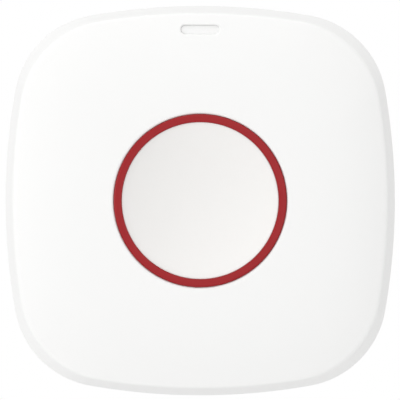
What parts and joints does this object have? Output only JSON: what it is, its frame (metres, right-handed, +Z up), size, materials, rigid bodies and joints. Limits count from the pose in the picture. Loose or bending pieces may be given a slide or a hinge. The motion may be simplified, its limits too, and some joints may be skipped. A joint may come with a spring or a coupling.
{
  "type": "wireless panic button",
  "caption": "Wall-mounted wireless panic button: white rounded-square case with a dished round push button in a red ring, indicator window, battery door and slide-on wall plate.",
  "frame": {"origin": "midway between the wall plate's two screw holes, on its back face, where it meets the wall", "axes": "+Y into the wall, the button faces -Y; +Z up, towards the indicator window"},
  "size_m": [0.062, 0.0178, 0.062],
  "materials": {
    "white_shell": "fine textured white moulding",
    "white_cap": "fine textured warm white moulding",
    "red_plastic": "satin red moulding",
    "clear_guide": "frosted translucent moulding",
    "spring_steel": "drawn wire",
    "board_green": "green solder mask",
    "black_plastic": "black moulding",
    "tinned_metal": "tin plated sheet",
    "led_body": "white package with a yellow lens",
    "capacitor_yellow": "moulded tantalum case",
    "enamelled_copper": "enamelled copper wire",
    "zinc_screw": "zinc plated",
    "cell_can": "nickel plated can",
    "contact_metal": "gold flashed strip",
    "seal_rubber": "soft black elastomer",
    "plate_white": "plain white moulding",
    "foam_tape": "grey foam tape"
  },
  "bodies": {
    "wall_mount": {"wall_plate": "plate_white", "adhesive_pads": "foam_tape"},
    "case": {"front_cover": "white_shell", "light_guide": "clear_guide", "return_spring": "spring_steel", "circuit_board": "board_green", "button_switch_body": "black_plastic", "button_switch_plate": "tinned_metal", "button_switch_terminals": "tinned_metal", "indicator_led": "led_body", "radio_can": "tinned_metal", "controller_chip": "black_plastic", "crystal": "tinned_metal", "reservoir_capacitor": "capacitor_yellow", "small_components": "black_plastic", "antenna_coil": "enamelled_copper", "case_screws": "zinc_screw", "board_screws": "zinc_screw", "tamper_switch_body": "black_plastic", "battery_cell": "cell_can", "battery_contact_positive": "contact_metal", "battery_contact_negative": "contact_metal", "rear_housing": "white_shell", "case_seal": "seal_rubber"},
    "button": {"button_carrier": "red_plastic", "button_cap": "white_cap"},
    "switch_plunger": {"button_switch_plunger": "black_plastic"},
    "tamper_pin": {"tamper_plunger": "white_shell"},
    "door": {"battery_door": "plate_white", "battery_door_seal": "seal_rubber"}
  },
  "joints": [
    {"name": "plate_slide", "type": "slide", "parent": "wall_mount", "child": "case", "axis": [0, 0, 1], "range_m": [0, 0.004]},
    {"name": "button_press", "type": "slide", "parent": "case", "child": "button", "axis": [0, 1, 0], "range_m": [0, 0.001], "stiffness_N_per_m": 2000, "springref_m": -0.001, "deforming": ["return_spring"]},
    {"name": "switch_press", "type": "slide", "parent": "case", "child": "switch_plunger", "axis": [0, 1, 0], "range_m": [0, 0.001]},
    {"name": "tamper_release", "type": "slide", "parent": "case", "child": "tamper_pin", "axis": [0, 1, 0], "range_m": [0, 0.0008]},
    {"name": "door_twist", "type": "hinge", "parent": "case", "child": "door", "pos_m": [0, 0, 0], "axis": [0, -1, 0], "range_deg": [0, 40]}
  ],
  "couplings": [
    {"joint": "switch_press", "follows": "button_press", "ratio": 1},
    {"joint": "tamper_release", "follows": "plate_slide", "ratio": 0.2}
  ]
}
